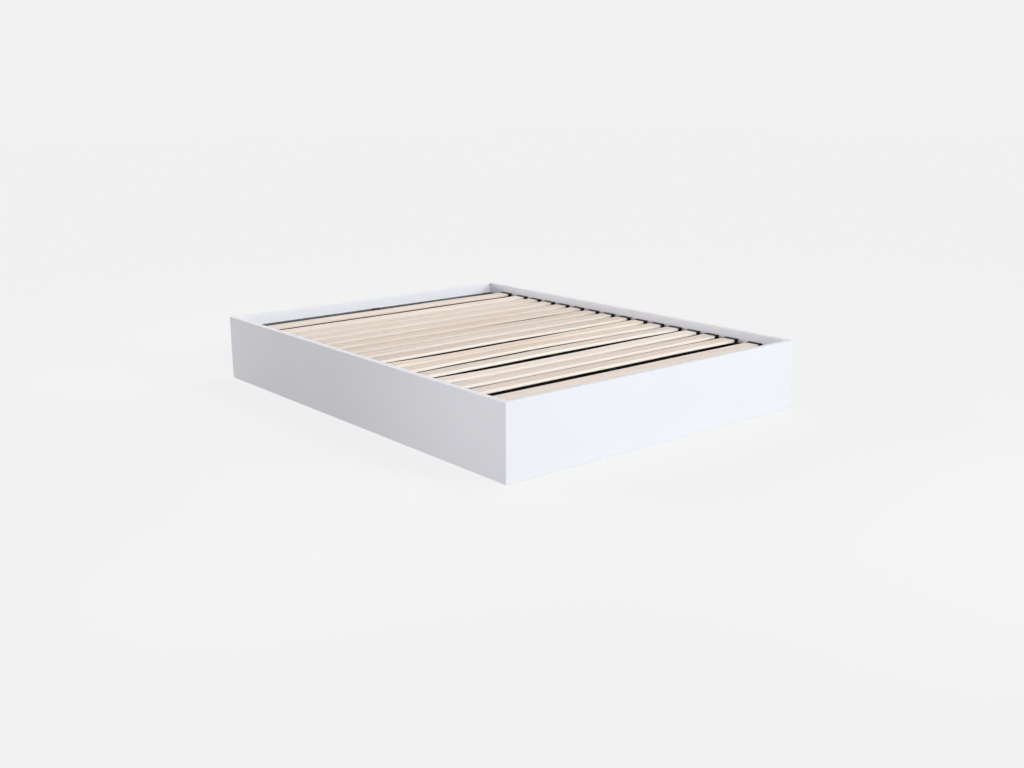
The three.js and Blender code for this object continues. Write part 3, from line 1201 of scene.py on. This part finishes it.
def make_end_plate(end, body_end, low, high, bottom):
    """A plate that closes the tube and reaches over the rail with a tongue."""
    plate = add_box("end_plate", Vector((low.x, body_end - BEAM_WALL, bottom)),
                    Vector((high.x, body_end, high.z)))
    start_edit(plate)
    slice_at(Z * (high.z - BEAM_WALL), Z)
    pick_faces(plate, lambda middle, normal: (
        normal.y > SQUARE_ON and middle.z > high.z - BEAM_WALL))
    extrude((0, high.y - body_end, 0))
    pick_edges(plate, lambda a, b: along(Z)(a, b) and a.y > high.y - SAME_PLACE)
    bevel(BEAM_CORNER, segments=4)
    end_edit()
    if end < 0:
        plate.matrix_world = turned(HALF_TURN)
        settle(plate)
    return plate


def make_beam():
    """The rectangular tube with its end plates, its threaded bosses and their holes."""
    low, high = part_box("centre_beam")
    bottom = low.z + BOSS_HEIGHT
    top = bottom + BEAM_HEIGHT
    body_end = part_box("head_rail")[0].y - RAIL_GAP
    tube_end = body_end - BEAM_WALL / 2
    beam = add_box("tube_beam", Vector((low.x, -tube_end, bottom)), Vector((high.x, tube_end, top)))
    start_edit(beam)
    pick_edges(beam, along(Y))
    bevel(BEAM_CORNER, segments=4)
    pick_faces(beam, lambda middle, normal: abs(normal.y) > SQUARE_ON)
    bpy.ops.mesh.inset(thickness=BEAM_WALL, use_individual=True)
    bpy.ops.mesh.bridge_edge_loops()
    end_edit()
    for end in (1, -1):
        combine(beam, make_end_plate(end, body_end, low, high, bottom), "UNION")
    for leg in LEG_ENDS:
        foot = middle_of(f"centre_leg_{leg}")
        foot.z = low.z
        boss = add_post("boss", foot, BOSS_HEIGHT + BEAM_WALL / 2, BOSS_RADIUS, sides=32)
        combine(beam, boss, "UNION")
        foot.z -= BOSS_HEIGHT
        hole = add_post("hole", foot, 3 * BOSS_HEIGHT, THREAD_HOLE, sides=24)
        combine(beam, hole, "DIFFERENCE")
    weld(beam)
    mark_arrises(beam, SQUARE_FLATS, round_walls=True)
    shade(beam)
    set_out(beam, powder_coat(), stands_for=["centre_beam"])


def make_bolt():
    """A domed bolt head for the beam's tongues."""
    return make_head("bolt_head", BOLT_HEIGHT, BOLT_RADIUS, sides=24,
                     dome=BOLT_HEIGHT * BOLT_DOME_SHARE, segments=4, rim=BOLT_RADIUS / 8)


def make_nut():
    """A six-sided nut that hangs below its seat, with chamfered corners and a bore."""
    nut = add_post("hex_nut", Z * -BOLT_HEIGHT, BOLT_HEIGHT, BOLT_RADIUS, sides=6)
    start_edit(nut)
    pick_faces(nut, lambda middle, normal: normal.z < -SQUARE_ON)
    bpy.ops.mesh.inset(thickness=BOLT_RADIUS * NUT_RING_SHARE)
    extrude((0, 0, BOLT_HEIGHT * NUT_BORE_SHARE))
    pick_sharp(nut, NUT_FOLD, along(Z))
    bevel(STEEL_ARRIS, segments=1)
    end_edit()
    mark_arrises(nut, [Z], round_walls=True)
    shade(nut)
    return nut


def leg_profile(radius, top, settings):
    """Heights and radii of a leg above its foot rim, up to the tip of its threaded stud."""
    root = STUD_RADIUS - settings.thread_depth
    profile = [
        (LEG_FOOT_RIM + LEG_ARRIS / 2, radius - LEG_ARRIS / 2),
        (LEG_FLARE_TOP, LEG_RADIUS),
        (LEG_SHOULDER - LEG_ARRIS, LEG_RADIUS),
        (LEG_SHOULDER - LEG_ARRIS * ARRIS_MIDDLE, LEG_RADIUS - LEG_ARRIS * ARRIS_MIDDLE),
        (LEG_SHOULDER, LEG_RADIUS - LEG_ARRIS),
        (LEG_SHOULDER, root),
    ]
    height = LEG_SHOULDER
    while height + settings.thread_pitch < top - STUD_TIP:
        profile.append((height + settings.thread_pitch / 2, STUD_RADIUS))
        height += settings.thread_pitch
        profile.append((height, root))
    return profile + [(top - STUD_TIP, STUD_RADIUS), (top, STUD_RADIUS - STUD_TIP)]


def make_leg(leg, settings):
    """A turned leg with a flared foot and a threaded stud, on a felt pad."""
    node = f"centre_leg_{leg}"
    low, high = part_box(node)
    radius = (high.x - low.x) / 2
    foot = middle_of(node)
    foot.z = PAD_THICKNESS
    turned_leg = add_post(
        f"turned_leg_{leg}", foot, LEG_FOOT_RIM - PAD_THICKNESS, radius, LEG_SIDES)
    start_edit(turned_leg)
    pick_faces(turned_leg, lambda middle, normal: normal.z > SQUARE_ON)
    height, width = LEG_FOOT_RIM, radius
    for next_height, next_width in leg_profile(radius, high.z, settings):
        extrude((0, 0, next_height - height))
        ratio = next_width / width
        bpy.ops.transform.resize(value=(ratio, ratio, 1))
        height, width = next_height, next_width
    end_edit()
    mark_arrises(turned_leg, [Z], round_walls=True)
    shade(turned_leg)
    set_out(turned_leg, powder_coat(), body=node, stands_for=[node])

    foot.z = 0
    pad = add_post(f"felt_pad_{leg}", foot, PAD_THICKNESS, radius - LEG_ARRIS, LEG_SIDES)
    start_edit(pad)
    pick_sharp(pad, SHARP_FOLD)
    bevel(PAD_THICKNESS / 4, segments=2)
    end_edit()
    shade(pad)
    set_out(pad, grey_felt(), body=node)


class BEDBASE_OT_beam(bpy.types.Operator):
    """Builds the centre beam with its bolts, and the two screw-in legs"""

    bl_idname = "bedbase.beam"
    bl_label = "Centre beam and legs"

    def execute(self, context):
        make_beam()
        bolt, nut = make_bolt(), make_nut()
        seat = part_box("centre_beam")[1].z
        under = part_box("head_rail")[1].z - RAIL_THICKNESS
        places = [(x, y) for y in (BOLT_ROW, -BOLT_ROW) for x in (-BOLT_OFFSET, BOLT_OFFSET)]
        for number, (x, y) in enumerate(places, 1):
            twin = copy_of(bolt, f"beam_bolt_{number}", Matrix.Translation((x, y, seat)))
            set_out(twin, powder_coat())
            twin = copy_of(nut, f"beam_nut_{number}", Matrix.Translation((x, y, under)))
            set_out(twin, zinc())
        bpy.data.objects.remove(bolt)
        bpy.data.objects.remove(nut)
        for leg in LEG_ENDS:
            make_leg(leg, context.scene.bedbase_legs)
        return {"FINISHED"}


# Dust cover, whose near black is painted shade under the slats


class BEDBASE_OT_cover(bpy.types.Operator):
    """Builds the stretched dust cover with an opening for each leg, near black as painted shade
    under the slats
    """

    bl_idname = "bedbase.cover"
    bl_label = "Dust cover"

    def execute(self, context):
        settings = context.scene.bedbase_cover
        low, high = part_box("dust_cover")
        bpy.ops.object.select_all(action="DESELECT")
        bpy.ops.mesh.primitive_grid_add(
            x_subdivisions=COVER_SQUARES[0], y_subdivisions=COVER_SQUARES[1], size=1,
            location=(low + high) / 2)
        cover = bpy.context.object
        cover.scale = (high.x - low.x, high.y - low.y, 1)
        settle(cover, "cloth_cover_painted_shade")
        start_edit(cover)
        strip_end = high.y - high.x
        pick_points(cover, lambda point: (
            abs(point.x) < COVER_STRIP and abs(point.y) < strip_end))
        pull(-settings.sag, high.x)
        end_edit()
        finish_with(cover, "SOLIDIFY", thickness=settings.thickness, offset=0)
        for leg in LEG_ENDS:
            foot = middle_of(f"centre_leg_{leg}")
            foot.z = low.z - COVER_CUTTER
            opening = add_post("opening", foot, 2 * COVER_CUTTER, COVER_OPENING, sides=40)
            combine(cover, opening, "DIFFERENCE")
        weld(cover)
        shade(cover)
        set_out(cover, black_cloth(), stands_for=["dust_cover"])
        return {"FINISHED"}


# Floor, backdrop, lamps and camera


def show_backdrop(tree, seen, unseen):
    """Shows one shader to the camera, in gloss and through glass, and lights with the other."""
    path = add_node(tree, "ShaderNodeLightPath").outputs
    chosen = math_node(tree, "MAXIMUM", path["Is Camera Ray"], path["Is Glossy Ray"])
    chosen = math_node(tree, "MAXIMUM", chosen, path["Is Transmission Ray"])
    mix = add_node(tree, "ShaderNodeMixShader", inputs={0: chosen, 1: unseen, 2: seen})
    return mix.outputs[0]


def make_floor(settings):
    """A wide pale floor that keeps a weak shadow."""
    bpy.ops.object.select_all(action="DESELECT")
    bpy.ops.mesh.primitive_plane_add(size=FLOOR_SIZE, location=(0, 0, -FLOOR_DROP))
    floor = settle(bpy.context.object, "studio_floor")
    material = bpy.data.materials.new("pale_floor")
    material.use_nodes = True
    tree = material.node_tree
    tree.nodes.clear()
    glow = add_node(tree, "ShaderNodeEmission", inputs={
        "Color": grey(settings.backdrop * FLOOR_LIFT)})
    matt = add_node(tree, "ShaderNodeBsdfDiffuse", inputs={"Color": grey(FLOOR_WHITE)})
    seen = add_node(tree, "ShaderNodeMixShader", inputs={
        0: FLOOR_SHADE, 1: glow.outputs[0], 2: matt.outputs[0]})
    unseen = add_node(tree, "ShaderNodeBsdfDiffuse", inputs={"Color": grey(settings.floor_bounce)})
    result = show_backdrop(tree, seen.outputs[0], unseen.outputs[0])
    add_node(tree, "ShaderNodeOutputMaterial", inputs={"Surface": result})
    floor.data.materials.append(material)


def make_world(settings):
    """Soft light from all round, with a plain backdrop for the camera."""
    world = bpy.data.worlds.new("studio")
    world.use_nodes = True
    tree = world.node_tree
    tree.nodes.clear()
    seen = add_node(tree, "ShaderNodeBackground", inputs={"Color": grey(settings.backdrop)})
    soft = add_node(tree, "ShaderNodeBackground", inputs={
        "Color": grey(1.0), "Strength": settings.sky})
    result = show_backdrop(tree, seen.outputs[0], soft.outputs[0])
    add_node(tree, "ShaderNodeOutputWorld", inputs={"Surface": result})
    bpy.context.scene.world = world


def add_lamp(name, kind, place, target, strength, colour):
    """A lamp that looks from its place at a target."""
    place, target = Vector(place), Vector(target)
    bpy.ops.object.light_add(type=kind, location=place)
    lamp = bpy.context.object
    lamp.name = name
    lamp.rotation_euler = (target - place).to_track_quat("-Z", "Y").to_euler()
    lamp.data.energy = strength
    lamp.data.color = colour
    return lamp.data


def add_lamps():
    for name, azimuth, elevation, strength, colour in SUNS:
        turn = Matrix.Rotation(math.radians(azimuth), 3, "Z")
        tilt = Matrix.Rotation(-math.radians(elevation), 3, "X")
        place = turn @ tilt @ -Y * SUN_DISTANCE
        add_lamp(name, "SUN", place, (0, 0, 0), strength, colour).angle = SUN_SPREAD
    for name, place, target, width, depth, power, spread, colour in SOFTBOXES:
        lamp = add_lamp(name, "AREA", place, target, power, colour)
        lamp.shape = "RECTANGLE"
        lamp.size, lamp.size_y = width, depth
        lamp.spread = math.radians(spread)


def add_camera(settings):
    bpy.ops.object.camera_add()
    camera = bpy.context.object
    camera.name = "studio_camera"
    camera.data.sensor_width = PICTURE_WIDTH
    camera.data.lens = settings.lens
    camera.data.clip_end = SIGHT_END
    turn = Matrix.Rotation(settings.azimuth, 4, "Z")
    turn = turn @ Matrix.Rotation(QUARTER_TURN - settings.elevation, 4, "X")
    turn = turn @ Matrix.Rotation(settings.roll, 4, "Z")
    camera.matrix_world = Matrix.Translation(settings.camera_place) @ turn
    bpy.context.scene.camera = camera


class BEDBASE_OT_stage(bpy.types.Operator):
    """Sets out the floor, the backdrop, the lamps and the camera"""

    bl_idname = "bedbase.stage"
    bl_label = "Stage"

    def execute(self, context):
        settings = context.scene.bedbase_stage
        make_floor(settings)
        make_world(settings)
        add_lamps()
        add_camera(settings)
        context.scene.view_settings.view_transform = "Standard"
        return {"FINISHED"}


class BEDBASE_PT_panel(bpy.types.Panel):
    """Lists the operators that build the bed base"""

    bl_idname = "BEDBASE_PT_panel"
    bl_label = "Bed base"
    bl_space_type = "VIEW_3D"
    bl_region_type = "UI"
    bl_category = "Bed base"

    def draw(self, context):
        for operator in OPERATORS:
            self.layout.operator(operator.bl_idname)
        for label in SETTINGS:
            group = getattr(context.scene, label)
            box = self.layout.box()
            for name in group.__annotations__:
                box.prop(group, name)


OPERATORS = (
    BEDBASE_OT_boards,
    BEDBASE_OT_rails,
    BEDBASE_OT_brackets,
    BEDBASE_OT_slats,
    BEDBASE_OT_holders,
    BEDBASE_OT_beam,
    BEDBASE_OT_cover,
    BEDBASE_OT_stage,
)
SETTINGS = {
    "bedbase_boards": BEDBASE_PG_boards,
    "bedbase_slats": BEDBASE_PG_slats,
    "bedbase_holders": BEDBASE_PG_holders,
    "bedbase_steel": BEDBASE_PG_steel,
    "bedbase_legs": BEDBASE_PG_legs,
    "bedbase_cover": BEDBASE_PG_cover,
    "bedbase_stage": BEDBASE_PG_stage,
}


def register():
    for label, group in SETTINGS.items():
        bpy.utils.register_class(group)
        setattr(bpy.types.Scene, label, PointerProperty(type=group))
    for item in (*OPERATORS, BEDBASE_PT_panel):
        bpy.utils.register_class(item)


def unregister():
    for item in reversed((*OPERATORS, BEDBASE_PT_panel)):
        bpy.utils.unregister_class(item)
    for label, group in SETTINGS.items():
        delattr(bpy.types.Scene, label)
        bpy.utils.unregister_class(group)


def main():
    register()
    bpy.ops.bedbase.boards()
    bpy.ops.bedbase.rails()
    bpy.ops.bedbase.brackets()
    bpy.ops.bedbase.slats()
    bpy.ops.bedbase.holders()
    bpy.ops.bedbase.beam()
    bpy.ops.bedbase.cover()
    bpy.ops.bedbase.stage()


if __name__ == "__main__":
    main()
